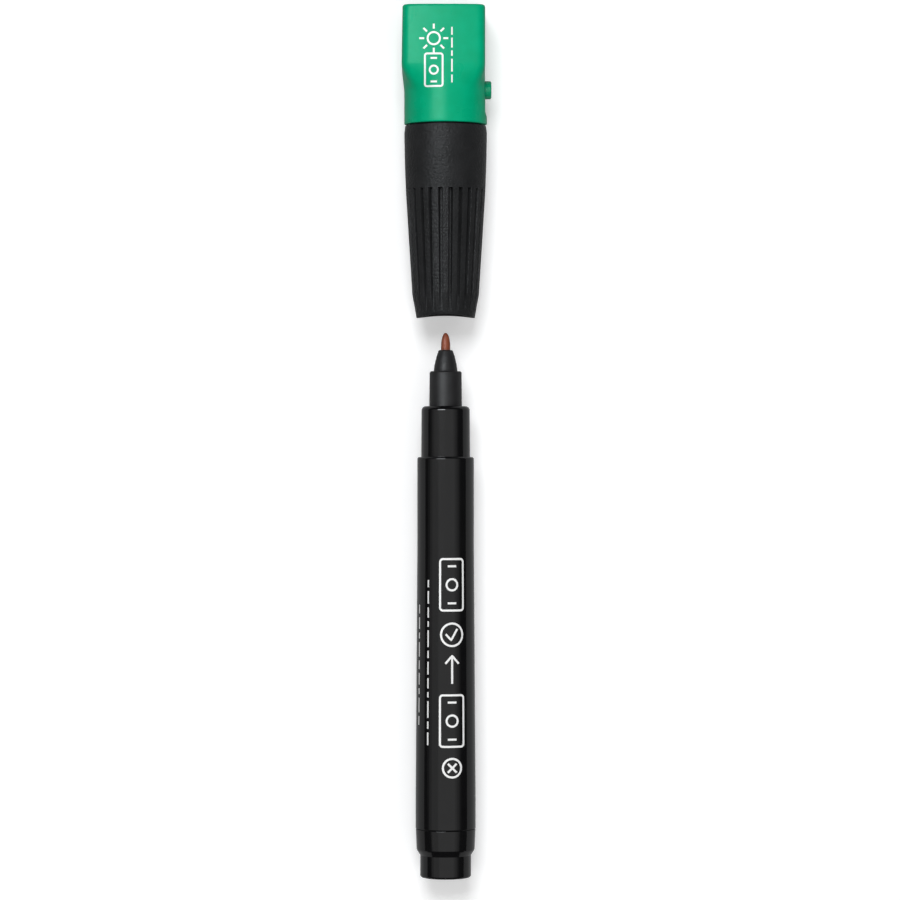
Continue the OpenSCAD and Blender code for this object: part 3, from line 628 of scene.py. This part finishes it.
def turn_to(angle, marks):
    """Degrees from an angle to the nearest of some marks."""
    return min(abs((angle - mark + 180) % 360 - 180) for mark in marks)


def head_angles(count=200, fine=1440):
    """Directions round the axis, closer together at the long corners and at the flat's edges."""
    weights = []
    for k in range(fine):
        corner, flat = turn_to(360 * k / fine, (47, 137, 225, 313)), turn_to(360 * k / fine, (21, 339))
        weights.append(1 + 7 * math.exp(-(corner / 6) ** 2) + 3 * math.exp(-(flat / 5) ** 2))
    total, run, angles = sum(weights), 0.0, []
    for k, weight in enumerate(weights):
        run += weight / total * count
        if run >= len(angles) + 0.5:
            angles.append(math.radians(360 * k / fine))
    return angles


HEAD_ANGLES = head_angles()
FACE_SHARES = (0.08, 0.5, 0.92, 1.0)  # rings across the end face, from its edge to the diode's hole


def head_ring(station, inset=0.0, limit=None):
    """Outline of the head at a station, pulled in by an inset, or an inside (radius, flat at +X)."""
    y = mouth_y + station * MM
    ring = []
    for a in HEAD_ANGLES:
        ux, uz = math.cos(a), math.sin(a)
        if limit:
            radius = min(limit[0], limit[1] / ux if ux > 1e-3 else limit[0])
        else:
            share = eased(BLEND_START, BLEND_END, station)
            radius = mixed(reach(round_distance, ux, uz, station, inset),
                           reach(square_distance, ux, uz, station, inset), share)
        ring.append(Vector((radius * ux * MM, y, axis_z + radius * uz * MM)))
    return ring


# The rings run from the socket's mouth over the outside to the diode's hole, and back through the inside
rings = [head_ring(HEAD_BASE, limit=(SOCKET_R + 0.25, UNCLIPPED))]
for turn_in in (math.pi / 2 * k / 4 for k in range(5)):
    rings.append(head_ring(HEAD_BASE + BASE_EDGE * (1 - math.cos(turn_in)),
                           inset=BASE_EDGE * (1 - math.sin(turn_in))))
rings += [head_ring(s) for s in (40.3, 40.8, 41.0, 41.3, 41.6, 41.9, 42.2, 42.5, 43.5, 44.5, 45.3, 46.0)]
rings += [head_ring(46.3 + 0.3 * k) for k in range(20)]
rings += [head_ring(s) for s in (53.5, 55.5, 57.5, 59.5, 61.5, HEAD_END - END_EDGE)]
for turn_in in (math.pi / 2 * k / 5 for k in range(1, 6)):
    rings.append(head_ring(HEAD_END - END_EDGE * (1 - math.sin(turn_in)),
                           inset=END_EDGE * (1 - math.cos(turn_in))))
outer_edge, hole_rim = rings[-1], head_ring(HEAD_END, limit=(LED_HOLE_R + 0.15, UNCLIPPED))
rings += [[a.lerp(b, share) for a, b in zip(outer_edge, hole_rim)] for share in FACE_SHARES]
rings += [head_ring(s, limit=(r, UNCLIPPED)) for s, r in (
    (HEAD_END - 0.05, LED_HOLE_R + 0.04), (HEAD_END - 0.18, LED_HOLE_R), (BOSS_FOOT, LED_HOLE_R),
    (BOSS_FOOT, LED_BOSS_R), (TOP_INSIDE, LED_BOSS_R))]
rings += [head_ring(s, inset=HEAD_WALL) for s in (TOP_INSIDE, 56.0, 52.5, CAVITY_START + 0.6)]
rings += [head_ring(s, limit=(SOCKET_R, x)) for s, x in (
    (CAVITY_START, FLAT_INSIDE), (SOCKET_END, FLAT_INSIDE), (SOCKET_END - 0.02, UNCLIPPED),
    (HEAD_BASE + 0.3, UNCLIPPED))]
head_mesh = bmesh.new()
loft(head_mesh, rings, loop=True)
head = piece("head_shell", head_mesh, crease=38)
head.data.materials.append(head_green)
openings = bmesh.new()
hole_place = Matrix.Translation((HOLE_MIDDLE * MM, mouth_y + BUTTON_AT * MM, axis_z))
bmesh.ops.create_cone(openings, cap_ends=True, segments=64, radius1=BUTTON_HOLE_R * MM,
                      radius2=BUTTON_HOLE_R * MM, depth=HOLE_DEPTH * MM,
                      matrix=hole_place @ Matrix.Rotation(math.pi / 2, 4, "Y"))
block(openings, (-0.7, 38.5, -7.65), (0.7, 42.5, -6.9), mouth_y, soft=0.05)
cut(head, openings)
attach(head, "head")
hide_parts("uv_head")

# ---- Push button and plunger ----
# A moulding that stands out of the head's flat side, in the head's green painted darker as painted shade on
# that side. A flange keeps it in, and it presses the switch's black plunger.
# Its two tones are the head's green darkened: painted shade, not a darker plastic
button_green_painted_shade = surface("button_green_painted_shade", moulded, ((0.001, 0.24, 0.11), (0.003, 0.33, 0.16)), (0.16, 0.28),
                       0.004, grain=4.0)
button_outline = rounded([
    (5.7, 0.0, 0), (5.7, 2.65, 0.1), (6.38, 2.65, 0.1), (6.38, 1.88, 0.08), (9.4, 1.86, 0.42), (9.4, 1.2, 0),
    (9.33, 0.0, 0),
])
button_mesh = bmesh.new()
loft(button_mesh, revolved(button_outline, 0.0, 64))
to_side = Matrix.Translation((0, mouth_y + BUTTON_AT * MM, axis_z)) @ Matrix.Rotation(-math.pi / 2, 4, "Z")
bmesh.ops.transform(button_mesh, matrix=to_side @ Matrix.Translation((0, 0, -axis_z)),
                    verts=button_mesh.verts)
button = piece("button_shell", button_mesh)
button.data.materials.append(button_green_painted_shade)
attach(button, "button")
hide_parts("button_cap")
finish_cad("switch_plunger", switch_black, soft=0.1)

# ---- Printed marks ----
# White pad-printed ink on the barrel and on the head. The signs are generic: a note that passes, a note that
# fails, an arrow towards the nib, rows of dashes, and a lamp.
ink_white = surface("ink_white", moulded, ((0.86, 0.86, 0.85), (0.95, 0.95, 0.94)), (0.35, 0.55), 0.003,
                    grain=5.0)
INK_UNDER, INK_OVER = -0.02, 0.018  # how far a printed line reaches into and above its surface
STROKE_STEP = 0.4


def stroke(mesh, path, width, place):
    """A printed line along a path of (along, across) points, laid on a surface by place(point, lift)."""
    points = []
    for start, end in zip(path, path[1:]):
        start, end = Vector(start), Vector(end)
        count = max(1, math.ceil((end - start).length / STROKE_STEP))
        points += [start.lerp(end, k / count) for k in range(count)]
    points.append(Vector(path[-1]))
    closed = (points[0] - points[-1]).length < 1e-6
    rings = []
    for i, point in enumerate(points):
        last = points[i - 1] if i else (points[-2] if closed else point)
        following = points[i + 1] if i + 1 < len(points) else (points[1] if closed else point)
        along = (following - last).normalized()
        side = Vector((-along.y, along.x)) * width / 2
        rings.append([place(point - side, INK_UNDER), place(point - side, INK_OVER),
                      place(point + side, INK_OVER), place(point + side, INK_UNDER)])
    loft(mesh, rings[:-1] if closed else rings, loop=closed, caps=not closed)


def arc(centre, radius, start=0, end=360, steps=28):
    """Points along an arc, in degrees."""
    turns = [math.radians(mixed(start, end, k / steps)) for k in range(steps + 1)]
    return [(centre[0] + radius * math.cos(a), centre[1] + radius * math.sin(a)) for a in turns]


def note(centre, length, height, corner=0.6):
    """A banknote: a rounded frame, a round portrait field and two value bars."""
    x, y = length / 2 - corner, height / 2 - corner
    frame_line = []
    for (sx, sy), start in (((1, 1), 0), ((-1, 1), 90), ((-1, -1), 180), ((1, -1), 270)):
        frame_line += arc((centre[0] + sx * x, centre[1] + sy * y), corner, start, start + 90, 5)
    frame_line.append(frame_line[0])
    bars = []
    for along in (centre[0] - length * 0.36, centre[0] + length * 0.36):
        bars.append([(along, centre[1] - height * 0.18), (along, centre[1] + height * 0.18)])
    return [frame_line, arc(centre, height * 0.23)] + bars


def dashes(start, end, across, lengths, gap=0.75):
    """A row of dashes that takes its lengths in turn, from the start until one would pass the end."""
    row, at = [], start
    while at + lengths[len(row) % len(lengths)] < end:
        length = lengths[len(row) % len(lengths)]
        row.append([(at, across), (at + length, across)])
        at += length + gap
    return row


OUTSIDE = barrel_outline[8:40]  # the part of the barrel's outline that runs along its printed outside
PRINT_R = 6.0  # the radius on which sizes round the barrel are true


def on_barrel(point, lift):
    """A place on the barrel: the first value is a station, the second goes round from the top."""
    radius = outline_radius(OUTSIDE, point.x) + lift
    angle = point.y / PRINT_R
    return Vector((radius * math.sin(angle) * MM, pen_y + point.x * MM,
                   axis_z + radius * math.cos(angle) * MM))


barrel_print = bmesh.new()
MAIN, SMALL, SMALLEST = 1.35, -3.85, -6.75  # how far round from the top each row of print lies
signs = note((59.8, MAIN), 10.5, 5.0) + note((32.0, MAIN), 10.5, 5.0)
signs += [arc((49.6, MAIN), 2.3), [(49.7, MAIN - 1.3), (48.5, MAIN - 0.2), (50.8, MAIN + 1.1)]]
signs += [[(45.2, MAIN), (39.6, MAIN)], [(43.7, MAIN + 1.4), (45.3, MAIN), (43.7, MAIN - 1.4)]]
signs += [arc((22.4, MAIN), 1.9)]
signs += [[(21.5, MAIN - 0.9), (23.3, MAIN + 0.9)], [(21.5, MAIN + 0.9), (23.3, MAIN - 0.9)]]
for sign in signs:
    stroke(barrel_print, sign, 0.42, on_barrel)
small_print = dashes(27.0, 61.0, SMALL, (2.6, 1.5, 3.4, 1.1, 2.1))
small_print += dashes(31.0, 57.0, SMALLEST, (1.8, 3.0, 1.2, 2.4))
for dash in small_print:
    stroke(barrel_print, dash, 0.34, on_barrel)
pen_marks = piece("pen_marks", barrel_print, crease=30)
pen_marks.data.materials.append(ink_white)
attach(pen_marks, "pen")

head_top = bmesh.new()
head_top.from_mesh(head.data)
head_tree = BVHTree.FromBMesh(head_top)
head_top.free()
WELL_ABOVE = 0.02  # metres


def on_head(point, lift):
    """A place on the head's upper face: the first value is a station, the second goes across."""
    above = Vector((point.y * MM, mouth_y + point.x * MM, axis_z + WELL_ABOVE))
    landed = head_tree.ray_cast(above, Vector((0, 0, -1)))[0]
    return landed + Vector((0, 0, lift * MM))


head_print = bmesh.new()
LAMP = (56.6, -2.4)
signs = [arc(LAMP, 1.25)]
for k in range(8):
    ray = Vector((math.cos(math.pi * k / 4), math.sin(math.pi * k / 4)))
    signs.append([Vector(LAMP) + ray * 1.95, Vector(LAMP) + ray * 2.95])
signs += note((50.2, -2.4), 6.6, 3.6, corner=0.45)
for sign in signs:
    stroke(head_print, sign, 0.38, on_head)
for dash in dashes(47.6, 61.0, 1.3, (1.6, 2.6, 1.1, 2.0), gap=0.6):
    stroke(head_print, dash, 0.3, on_head)
head_marks = piece("head_marks", head_print, crease=30)
head_marks.data.materials.append(ink_white)
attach(head_marks, "head")

# ---- Surface, lights and camera ----
# A white table seen from straight above. Dim diffusers overhead shade the gloss, the key stands beyond the
# head and almost overhead, a broad fill stands behind the tail, and a cool panel is only seen mirrored.
floor_mesh = bmesh.new()
bmesh.ops.create_grid(floor_mesh, x_segments=8, y_segments=8, size=1.6)
floor = piece("table", floor_mesh)
table_white = surface("table_white", moulded, ((0.84, 0.84, 0.84), (0.86, 0.86, 0.86)), (0.85, 0.95), 0.001,
                      grain=0.5, Emission_Color=(1.0, 1.0, 1.0, 1.0), Emission_Strength=0.28)
shading = table_white.node_tree
# The camera sees the white; what the pen mirrors of the table is darker and doesn't glow
dark = node(shading, "ShaderNodeBsdfDiffuse", Color=(0.40, 0.40, 0.40, 1))
seen = node(shading, "ShaderNodeLightPath").outputs["Is Camera Ray"]
choice = node(shading, "ShaderNodeMixShader", Fac=seen)
shading.links.new(dark.outputs[0], choice.inputs[1])
shading.links.new(shading.nodes["Principled BSDF"].outputs[0], choice.inputs[2])
shading.links.new(choice.outputs[0], shading.nodes["Material Output"].inputs["Surface"])
floor.data.materials.append(table_white)


def panel(name, place, size, radiance, aim=(0, 0, 0), colour=(1, 1, 1), mirrored=True, lights=True):
    """A soft rectangular light aimed at a point, set by how bright its face looks."""
    light = bpy.data.lights.new(name, "AREA")
    light.shape = "RECTANGLE"
    light.size, light.size_y = size
    light.energy = radiance * math.pi * size[0] * size[1]
    light.color = colour
    made = bpy.data.objects.new(name, light)
    made.location = place
    made.visible_glossy, made.visible_diffuse = mirrored, lights
    made.rotation_euler = (Vector(aim) - Vector(place)).to_track_quat("-Z", "Y").to_euler()
    bpy.context.scene.collection.objects.link(made)


CEILING, DIFFUSER_STEP, DIFFUSER_LENGTH, DIFFUSER_Y = 1.1, 0.02, 1.1, 0.1
# Overlapping diffusers: each spans so many degrees left and right of straight up, at its own radiance
DIFFUSERS = ((76, 62, 0.10), (66, 55, 0.20), (56, 46, 0.16), (30, 38, 0.16))
for number, (left, right, radiance) in enumerate(DIFFUSERS):
    to_left, to_right = (CEILING * math.tan(math.radians(angle)) for angle in (-left, right))
    middle, up = (to_left + to_right) / 2, CEILING + DIFFUSER_STEP * number
    panel(f"diffuser_{number}", (middle, DIFFUSER_Y, up), (to_right - to_left, DIFFUSER_LENGTH), radiance,
          aim=(middle, DIFFUSER_Y, 0))
panel("key_panel", (-0.11, 0.62, 1.3), (0.55, 0.55), 13.0, colour=(0.97, 0.985, 1.0), mirrored=False)
panel("fill_panel", (0.25, -0.9, 1.25), (1.5, 1.5), 1.3, mirrored=False)
panel("window_panel", (-0.42, 0.30, 1.05), (0.75, 0.36), 12.0, aim=(-0.42, 0.30, 0), colour=(0.92, 0.97, 1.0),
      lights=False)

world = bpy.data.worlds.new("studio")
world.use_nodes = True
world.node_tree.nodes["Background"].inputs["Color"].default_value = (1, 1, 1, 1)
world.node_tree.nodes["Background"].inputs["Strength"].default_value = 0.03
bpy.context.scene.world = world
bpy.context.scene.view_settings.view_transform = "Standard"

VIEW_WIDTH, CAMERA_UP, SENSOR = 0.18505, 0.74, 36.0  # width seen at the axis, in metres
VIEW_MIDDLE = (0.9, 87.3)  # beside the axis, and from the pen's tail
camera_data = bpy.data.cameras.new("camera")
camera_data.sensor_width = SENSOR
camera_data.lens = SENSOR * CAMERA_UP / VIEW_WIDTH
camera_data.clip_start = 0.05
camera = bpy.data.objects.new("camera", camera_data)
camera.location = (VIEW_MIDDLE[0] * MM, pen_y + VIEW_MIDDLE[1] * MM, axis_z + CAMERA_UP)
bpy.context.scene.collection.objects.link(camera)
bpy.context.scene.camera = camera
